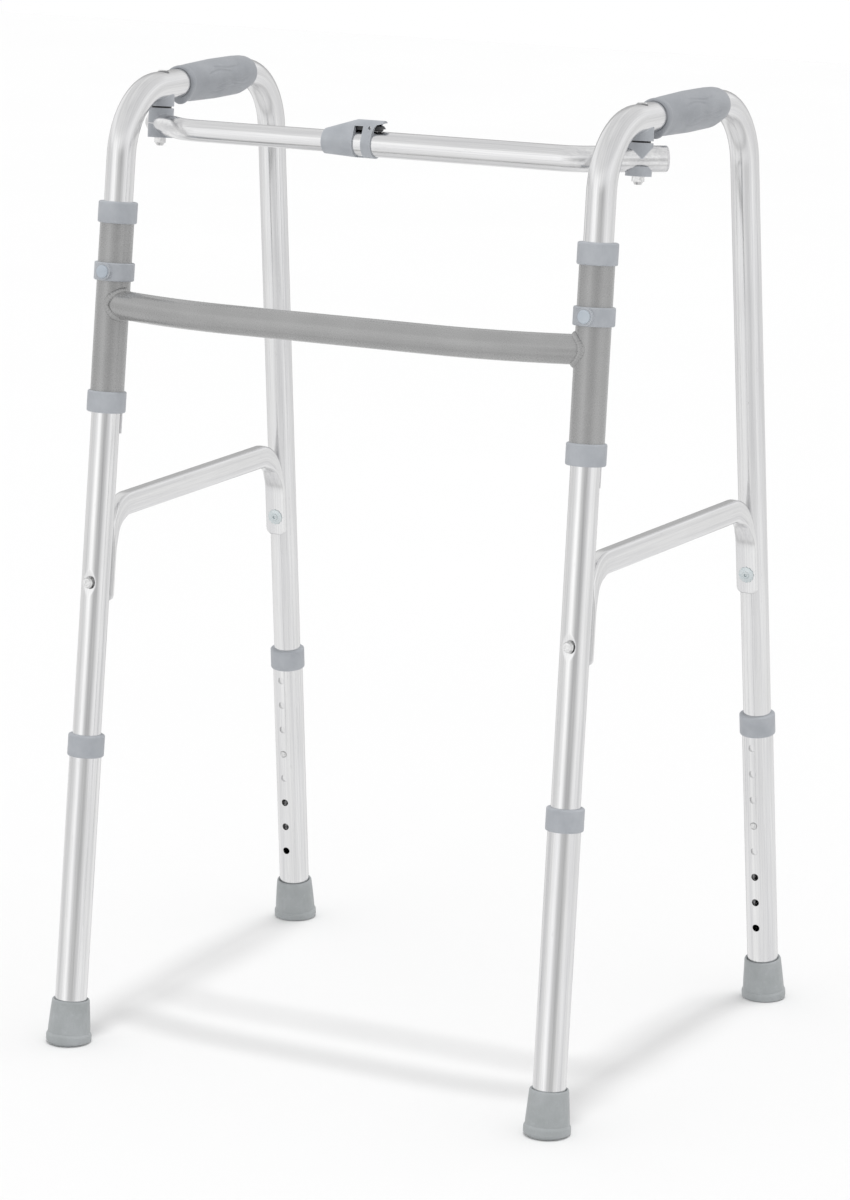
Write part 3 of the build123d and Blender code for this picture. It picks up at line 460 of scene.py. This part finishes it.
handle_ends = foot_half_depth - handle_height * math.tan(tilt)
fastener_scoop, fastener_scoop_half = 1.7, 13.0
bolt_scoop, bolt_scoop_half = 1.5, 8.0
for side_name, sx in sides.items():
    outward = side_axes(sx)[3]
    route = [leg_point(-1, inner_leg_end), (-handle_ends, handle_height), (handle_ends, handle_height),
             leg_point(1, inner_leg_end)]
    tube_line = on_side(sx, bent_line([np.asarray(p, float) for p in route], handle_bend))
    total = distances(tube_line)[-1]
    front_fastener = fastener_level - inner_leg_end
    bolt_place = on_side(sx, [bolt_top_depth, handle_height])
    bolt_at = distances(tube_line)[np.argmin(np.linalg.norm(tube_line - bolt_place, axis=1))]
    where = graded(total, 5.0, 1.0, [front_fastener, bolt_at], 18)
    angle = np.linspace(0, 2 * np.pi, 72, endpoint=False)
    # angle 0 faces along the plane's normal x heading: away from the middle on the front leg
    facing_out = 0.0 if np.cross(outward, [0, 0, 1])[1] < 0 else np.pi
    outer = scooped(tube_radius, where, angle, [
        (front_fastener, facing_out, fastener_scoop, fastener_scoop_half),
        (bolt_at, facing_out, bolt_scoop, bolt_scoop_half)])
    piece = hollow_tube(f"{side_name}_handle_tube", tube_line, outward, where, outer, tube_bore, angle)
    carry(piece, f"{side_name}_side", "aluminium_tube", tube_metal, f"{side_name}_side_tube")


# ---------------------------------------------------------------- braces
def squashed(angle, half_wide, half_tall, power):
    """A section between an ellipse and a box, signed: |cos|^(2/power) * half width and
    |sin|^(2/power) * half height."""
    c, s = np.cos(angle), np.sin(angle)
    wide = np.sign(c) * np.abs(c) ** (2 / power)
    tall = np.sign(s) * np.abs(s) ** (2 / power)
    return np.stack([half_wide[:, None] * wide, half_tall[:, None] * tall], -1)


def ease(x):
    """A smooth step from 0 to 1."""
    x = np.clip(x, 0, 1)
    return x * x * (3 - 2 * x)


brace_half_tall, brace_half_wide = 10.4, 6.6
plate_half_thick, plate_half_wide = 1.8, 10.4
plate_tip = 397.6
squeeze_start, squeeze_run = 42.0, 44.0     # where the flat ends begin to swell, and over what length
corner_run, corner_depth = 5.0, 6.5
fine_steps_at = 44.0
brace_power = 4.6
leg_face = leg_point(-1, fastener_level)[0] + tube_radius / math.cos(tilt)


def beside_leg(height, stand_off):
    """Depth and height of a point off the inner face of the front leg."""
    rise = (height - fastener_level * math.cos(tilt)) * math.tan(tilt)
    return np.array([leg_face + rise + stand_off / math.cos(tilt), height])


for side_name, sx in sides.items():
    outward = side_axes(sx)[3]
    front_tip = beside_leg(plate_tip, brace_half_tall + air_gap)
    corner = beside_leg(brace_level, brace_half_tall + air_gap)
    corners = [front_tip, corner, corner * [-1, 1], front_tip * [-1, 1]]
    brace_line = on_side(sx, bent_line(corners, brace_bend))
    total = distances(brace_line)[-1]
    where = graded(total, 4.0, 1.2, [fine_steps_at, total - fine_steps_at], 60)
    tip = np.minimum(where, total - where)
    # squeezed flat through the bend: the outer face follows the leg, and the inner face comes out to meet it
    flat = 1 - ease((tip - squeeze_start) / squeeze_run)
    half_wide = brace_half_wide + (plate_half_wide - brace_half_wide) * flat
    half_tall = brace_half_tall + (plate_half_thick - brace_half_tall) * flat
    # the plate's corners are rounded off over its last few millimetres
    past = np.clip(corner_run - tip, 0, corner_run) / corner_depth
    half_wide = half_wide * np.sqrt(np.clip(1 - past ** 2, 0.05, 1))
    angle = np.linspace(0, 2 * np.pi, 64, endpoint=False)
    section = squashed(angle, half_tall, half_wide, brace_power)
    towards_leg = section + np.stack([brace_half_tall - half_tall, np.zeros_like(half_tall)], 1)[:, None]
    points = swept(brace_line, outward, where, towards_leg)
    grain = np.concatenate([section, np.broadcast_to(where[:, None, None], (*section.shape[:2], 1))], -1)
    piece = grid_piece(f"{side_name}_flattened_brace", points, grain, caps=True)
    carry(piece, f"{side_name}_side", "aluminium_tube", tube_metal, f"{side_name}_brace")


# ---------------------------------------------------------------- grips
def grip_radius(s, length):
    """Radius along a grip: a cuff, a shallow neck, a belly fullest near the rear, and a rounded end."""
    stops = np.array([0.0, 1.2, 4.5, 7.0, 20.0, 62.0, 100.0, 113.0, 119.5, 123.0, length])
    radii = np.array([13.4, 15.0, 15.3, 15.0, 15.6, 16.7, 16.4, 15.8, 14.9, 13.8, 12.8])
    fine = np.linspace(0, length, 400)
    smooth = np.interp(fine, stops, radii)
    kernel = np.hanning(9) / np.hanning(9).sum()
    smooth[8:-8] = np.convolve(smooth, kernel, "same")[8:-8]
    return np.interp(s, fine, smooth)


grip_start = {"left": -39.0, "right": -44.0}
grip_length = 124.0
grip_bore = tube_radius + 0.03
groove_depth, groove_width = 0.62, 0.05
ridge_height, ridge_width, ridge_off = 0.22, 0.06, 0.10
belly_fullness, belly_width = 2.6, 0.75
stop_depth, stop_width = 4.3, 0.52
waves = ((-0.62, 0.10, 0.0, 30, 96), (-0.36, 0.12, 0.7, 40, 106), (-0.10, 0.11, 1.5, 58, 104),
         (0.42, 0.10, 2.4, 26, 74), (0.66, 0.09, 3.0, 40, 92))
for side_name, sx in sides.items():
    _, depth, up, outward = side_axes(sx)
    s = np.linspace(0, grip_length, 240)
    angle = np.linspace(0, 2 * np.pi, 120, endpoint=False)
    S, A = np.meshgrid(s, angle, indexing="ij")
    radius = grip_radius(S, grip_length)
    # embossed waves on both cheeks: grooves that follow angle = level + swing * sin(distance)
    window = ease((S - 24) / 12) * ease((108 - S) / 12)
    for cheek in (0.0, np.pi):
        for level, swing, phase, start, stop in waves:
            middle = cheek + (1 if cheek == 0.0 else -1) * (level + swing * np.sin(S / 9.0 + phase))
            off = np.angle(np.exp(1j * (A - middle)))
            run = ease((S - start) / 8) * ease((stop - S) / 8)
            groove = groove_depth * run * window * np.exp(-(off / groove_width) ** 2)
            ridge = ridge_height * run * window * np.exp(-((off - ridge_off) / ridge_width) ** 2)
            radius = radius - groove + ridge
    # fuller underneath, behind the finger stop, which is a lip under the front end
    below = np.angle(np.exp(1j * (A + np.pi / 2)))
    belly = belly_fullness * np.exp(-(below / belly_width) ** 2)
    radius = radius + belly * ease((S - 4) / 14) * ease((120 - S) / 16)
    finger_stop = stop_depth * np.exp(-(below / stop_width) ** 2)
    radius = radius + finger_stop * ease(S / 2.5) * ease((13 - S) / 9)
    base = on_side(sx, [grip_start[side_name], handle_height])
    spokes = np.cos(A)[..., None] * outward + np.sin(A)[..., None] * up
    outside = base + S[..., None] * depth + radius[..., None] * spokes
    back = s[::-1][::8]
    back = np.concatenate([[s[-1]], back[1:-1], [s[0]]])
    SB, AB = np.meshgrid(back, angle, indexing="ij")
    spokes = np.cos(AB)[..., None] * outward + np.sin(AB)[..., None] * up
    inside = base + SB[..., None] * depth + grip_bore * spokes
    piece = grid_piece(f"{side_name}_hand_grip", np.concatenate([outside, inside]), close_rows=True)
    carry(piece, f"{side_name}_side", "grey_vinyl", grip_vinyl, f"{side_name}_grip")


# ---------------------------------------------------------------- feet
def foot_profile():
    """Radius and height down a foot: bore, rolled rim, cone, flared base band, tread edge, closed middle."""
    return np.array([
        (0.0, 9.0), (14.2, 9.0), (14.32, 9.6), (14.32, 37.2), (14.9, 38.6), (15.7, 39.1), (16.5, 38.8),
        (17.0, 37.8), (17.15, 36.4), (17.35, 34.0), (17.9, 27.0), (18.5, 19.0), (19.0, 12.5), (19.2, 9.6),
        (19.15, 9.0), (19.25, 8.4), (19.9, 7.6), (20.4, 6.6), (20.5, 5.0), (20.5, 2.0), (20.2, 0.8),
        (19.6, 0.2), (18.6, -0.2), (17.8, -3.0), (12.0, -4.0), (0.0, -4.0)])


def refine(profile, step):
    """More points along a profile's straight pieces, at most a step apart."""
    lengths = np.concatenate([[0], np.cumsum(np.hypot(*np.diff(profile, axis=0).T))])
    where = np.unique(np.concatenate([lengths, np.arange(0, lengths[-1], step)]))
    return np.stack([np.interp(where, lengths, profile[:, 0]), np.interp(where, lengths, profile[:, 1])], 1)


def turned(origin, axis, across, beyond, profile, count=96, ripple=None):
    """A profile of radius and height turned about an axis:
    origin + axis * h + r * (cos * across + sin * beyond)."""
    angle = np.linspace(0, 2 * np.pi, count, endpoint=False)
    r = profile[:, :1] + (ripple(profile, angle) if ripple is not None else 0)
    around = np.cos(angle)[:, None] * across + np.sin(angle)[:, None] * beyond
    return origin + profile[:, 1][:, None, None] * axis + r[..., None] * around


def foot_ripple(profile, angle):
    """Shallow upright flutes on the cone, fading out above and below; the cone is very slightly oval."""
    r, h = profile[:, :1], profile[:, 1:]
    cone = ease((h - 10.5) / 3) * ease((34 - h) / 4) * (r > 17)
    return 0.10 * cone * np.cos(24 * angle) ** 5 + 0.05 * np.cos(2 * angle) * cone


for side_name, sx in sides.items():
    for end_name, sy in ends.items():
        origin, axis, across, beyond = leg_axes(sx, sy)
        profile = refine(foot_profile(), 1.2)[1:-1]
        points = turned(origin, axis, across, beyond, profile, ripple=foot_ripple)
        # the tread is worn level: anything below the floor is moved up the leg onto it
        below = np.minimum(points[..., 2], 0)
        points = points - axis * (below / axis[2])[..., None]
        leg_name = f"{side_name}_{end_name}"
        piece = grid_piece(f"{leg_name}_rubber_foot", points, caps=True)
        carry(piece, f"{leg_name}_leg", "grey_rubber", foot_rubber, f"{leg_name}_foot")


# ---------------------------------------------------------------- screws
def screw_head(washer, head, lift, recess):
    """Radius and height of a washer, a low head on it and a recess in that, from underneath to the middle."""
    return np.array([
        (0.0, -1.2), (washer - 0.9, -1.2), (washer - 0.8, 0.0), (washer - 0.15, 0.1), (washer, 0.45),
        (washer - 0.3, 0.85), (head + 1.0, 1.15), (head + 0.25, 1.2), (head, 1.35),
        (head - 0.1, 1.2 + lift * 0.7), (head - 0.7, 1.2 + lift),
        (recess + 0.25, 1.25 + lift), (recess, 1.1 + lift), (recess - 0.15, 0.5), (0.0, 0.3)])


def scallops(depth, count):
    """A ripple for a washer's rim: depth * cos(count * angle), fading inwards."""
    return lambda profile, angle: depth * ease((profile[:, :1] - 5.6) / 1.2) * np.cos(count * angle)


for side_name, sx in sides.items():
    _, depth, up, outward = side_axes(sx)
    inwards = -depth * math.cos(tilt) - up * math.sin(tilt)
    off_leg = tube_radius + 2 * plate_half_thick + air_gap
    seat = on_side(sx, leg_point(1, fastener_level)) + inwards * off_leg
    along = np.cross(inwards, outward)
    profile = refine(screw_head(7.3, 3.3, 1.1, 1.5), 0.4)[1:-1]
    points = turned(seat, inwards, outward, along, profile, ripple=scallops(0.3, 12))
    washer = grid_piece(f"{side_name}_scalloped_washer_screw", points, caps=True)
    carry(washer, f"{side_name}_side", "blue_zinc_steel", zinc_steel, f"{side_name}_brace_screw")
    seat = on_side(sx, [bolt_top_depth, handle_height + tube_radius - bolt_scoop])
    profile = refine(screw_head(5.2, 3.9, 0.6, 1.7), 0.4)[1:-1]
    points = turned(seat, up, outward, depth, profile, count=64)
    top = grid_piece(f"{side_name}_handle_screw", points, caps=True)
    # painted shade: the bright-steel handle screw gets the darkened finish to stand for its shade
    carry(top, f"{side_name}_side", "bright_steel", shade_darkened_steel)


# ---------------------------------------------------------------- weld beads
def weld_bead(sx):
    """A rippled bead where the crossbar meets its sleeve. Each point round the crossbar's surface runs along
    the bar to the sleeve's surface (a quadratic in the distance), and a small ring stands there, its radius
    scalloped like overlapping coins."""
    origin, axis, _, _ = leg_axes(sx, -1)
    centre = origin + axis * crossbar_level
    heading = np.array([sx * math.cos(crossbar_turn), math.sin(crossbar_turn), 0.0])
    level = np.cross(heading, [0, 0, 1.0])
    angle = np.linspace(0, 2 * np.pi, 240, endpoint=False)
    spoke = np.cos(angle)[:, None] * level + np.sin(angle)[:, None] * np.array([0, 0, 1.0])
    foot = centre + crossbar_radius * spoke

    def off_axis(v):
        return v - (v @ axis)[:, None] * axis

    away = off_axis(np.broadcast_to(-heading, spoke.shape))
    start = off_axis(foot - centre)
    a, b = (away ** 2).sum(1), 2 * (away * start).sum(1)
    c = (start ** 2).sum(1) - sleeve_radius ** 2
    reach = (-b + np.sqrt(b * b - 4 * a * c)) / (2 * a)
    seat = foot - heading * reach[:, None]
    outward = unit(off_axis(seat - centre))
    leg_of = unit(spoke - (spoke * outward).sum(1)[:, None] * outward)
    tangent = unit(np.roll(seat, -1, 0) - np.roll(seat, 1, 0))
    lift = unit(outward + leg_of)
    sidewise = unit(np.cross(tangent, lift))
    coins = np.abs(np.sin(angle * 17 + 0.5 * np.sin(angle * 3)))
    size = 2.3 + 0.5 * coins ** 0.6 + 0.25 * np.sin(angle * 5 + 1.0)
    turn = np.linspace(0, 2 * np.pi, 20, endpoint=False)
    ring = np.cos(turn)[:, None] * lift[:, None] * 0.85 + np.sin(turn)[:, None] * sidewise[:, None] * 1.25
    return seat[:, None] + size[:, None, None] * ring


for side_name, sx in sides.items():
    bead = grid_piece(f"{side_name}_weld_bead", weld_bead(sx), close_rows=True)
    carry(bead, "h_frame", "painted_weld", weld_paint, "weld_beads")


# ---------------------------------------------------------------- studio and camera
def aim_camera(place, azimuth, elevation, roll, lens):
    """A camera at a place, looking along an azimuth and down by an elevation, turned by a small roll."""
    a, e, r = math.radians(azimuth), math.radians(elevation), math.radians(roll)
    look = Vector((-math.sin(a) * math.cos(e), math.cos(a) * math.cos(e), -math.sin(e)))
    right = Vector((math.cos(a), math.sin(a), 0.0))
    up = right.cross(look)
    right, up = right * math.cos(r) + up * math.sin(r), up * math.cos(r) - right * math.sin(r)
    data = bpy.data.cameras.new("studio_camera")
    data.sensor_fit = "HORIZONTAL"
    data.sensor_width = 36.0
    data.lens = lens
    data.clip_end = 60.0
    camera = bpy.data.objects.new("studio_camera", data)
    turn = Matrix((right, up, -look)).transposed().to_4x4()
    camera.matrix_world = Matrix.Translation(Vector(place)) @ turn
    bpy.context.scene.collection.objects.link(camera)
    bpy.context.scene.camera = camera


def ramp(tree, value, stops, blend="B_SPLINE"):
    """A grey between stops of (position 0 to 1, brightness)."""
    made = put(tree, "ShaderNodeValToRGB", {0: value})
    band = made.color_ramp
    band.interpolation = blend
    band.elements.remove(band.elements[1])
    band.elements[0].position = stops[0][0]
    band.elements[0].color = (stops[0][1] / 2,) * 3 + (1,)
    for at, bright in stops[1:]:
        band.elements.new(at).color = (bright / 2,) * 3 + (1,)
    return sum_of(tree, "MULTIPLY", made.outputs[0], 2.0)


def studio_room(front, turn_bands, height_bands, level_weight, flag, strength):
    """The room that the metal reflects: white walls with upright light and dark panels round the frame, by
    azimuth from the front direction, fading into a softer ceiling and floor by height, and a round grey flag
    straight behind, which draws the tubes' outlines. Seen directly it is plain white."""
    world = bpy.data.worlds.new("studio_room")
    bpy.context.scene.world = world
    world.use_nodes = True
    tree = world.node_tree
    tree.nodes.clear()
    direction = put(tree, "ShaderNodeTexCoord").outputs["Generated"]
    a = math.radians(front)
    right = dot(tree, direction, (math.cos(a), math.sin(a), 0))
    ahead = dot(tree, direction, (math.sin(a), -math.cos(a), 0))
    azimuth = sum_of(tree, "ARCTAN2", right, ahead)
    azimuth = sum_of(tree, "ADD", sum_of(tree, "DIVIDE", azimuth, 2 * math.pi), 0.5)
    panels = ramp(tree, azimuth, [(d / 360 + 0.5, v) for d, v in turn_bands])
    up = put(tree, "ShaderNodeSeparateXYZ", {0: direction}).outputs[2]
    level = sum_of(tree, "ADD", sum_of(tree, "MULTIPLY", up, 0.5), 0.5)
    soft = ramp(tree, level, [((z + 1) / 2, v) for z, v in height_bands])
    weight = ramp(tree, level, [((z + 1) / 2, v) for z, v in level_weight], "EASE")
    mixed = put(tree, "ShaderNodeMix", {"Factor": weight, 2: soft, 3: panels}, data_type="FLOAT").outputs[0]
    flag_level, flag_inner, flag_outer, flag_grey = flag
    behind = Vector((-math.sin(a), math.cos(a), flag_level)).normalized()
    near = dot(tree, direction, behind)
    rim, core = math.cos(math.radians(flag_outer)), math.cos(math.radians(flag_inner))
    shade = spread(tree, near, rim, core, 1.0, flag_grey)
    room = put(tree, "ShaderNodeBackground", {0: sum_of(tree, "MULTIPLY", mixed, shade), 1: strength})
    white = put(tree, "ShaderNodeBackground", {0: (1, 1, 1, 1), 1: 1.0})
    seen = put(tree, "ShaderNodeLightPath").outputs["Is Camera Ray"]
    both = put(tree, "ShaderNodeMixShader", {0: seen, 1: room.outputs[0], 2: white.outputs[0]})
    put(tree, "ShaderNodeOutputWorld", {0: both.outputs[0]})


def high_light(name, slope, softness, power):
    """A distant soft light almost overhead, leaning by a slope along X and Y, not mirrored in the metal."""
    data = bpy.data.lights.new(name, "SUN")
    data.angle, data.energy = math.radians(softness), power
    light = bpy.data.objects.new(name, data)
    facing = Vector((-slope[0], -slope[1], -1.0)).to_track_quat("-Z", "Y")
    light.matrix_world = Matrix.Translation((0, 0, 3.0)) @ facing.to_matrix().to_4x4()
    light.visible_glossy = False
    bpy.context.scene.collection.objects.link(light)


def studio_floor():
    """A pale floor: a wide flat grid, gently uneven in tone."""
    line = np.linspace(-9000, 9000, 25)
    x, y = np.meshgrid(line, line, indexing="ij")
    points = np.stack([x, y, np.full_like(x, -0.6)], -1)
    floor = grid_piece("studio_floor", points, close_columns=False)
    made, tree, shader = start_finish("pale_floor", Specular_IOR_Level=0.1)
    place = own_place(tree)
    tone = mottle(tree, place, 1.5, 3)
    colour = blend_over(tree, tone, (0.885, 0.885, 0.885), (0.9, 0.9, 0.9))
    finish_with(tree, shader, colour, spread(tree, tone, 0, 1, 0.85, 0.95), mottle(tree, place, 300, 2), 0.0)
    floor.data.materials.append(made)
    if floor.data.polygons[0].normal.z < 0:
        floor.data.flip_normals()
    floor.visible_glossy = False


front_azimuth = 27.57           # degrees from the frame's front to the camera
aim_camera(place=(1.6855, -3.2250, 1.2210), azimuth=front_azimuth, elevation=12.80, roll=0.863, lens=175.15)
studio_floor()
studio_room(
    front=front_azimuth,
    turn_bands=[(-180, 0.90), (-137, 0.80), (-104, 0.70), (-80, 0.78), (-60, 1.02), (-44, 1.18), (-36, 1.08),
                (-24, 0.72), (-8, 0.58), (8, 0.46), (20, 0.58), (42, 0.98), (62, 0.98), (80, 0.86),
                (104, 0.78), (137, 0.80), (180, 0.90)],
    height_bands=[(-1.0, 0.86), (-0.86, 0.84), (-0.77, 0.56), (-0.68, 0.88), (-0.5, 0.92), (-0.2, 0.92),
                  (0.0, 0.96), (0.2, 1.06), (0.36, 1.10), (0.5, 0.86), (0.65, 0.78), (0.8, 0.84),
                  (0.92, 0.72), (1.0, 0.86)],
    level_weight=[(-0.5, 0.0), (-0.36, 0.15), (-0.15, 0.95), (0.08, 0.95), (0.3, 0.35), (0.5, 0.0)],
    flag=(0.08, 17, 34, 0.5),
    strength=1.0)
high_light("high_light", slope=(0.02, -0.05), softness=4.5, power=0.95)
bpy.context.scene.view_settings.view_transform = "Standard"
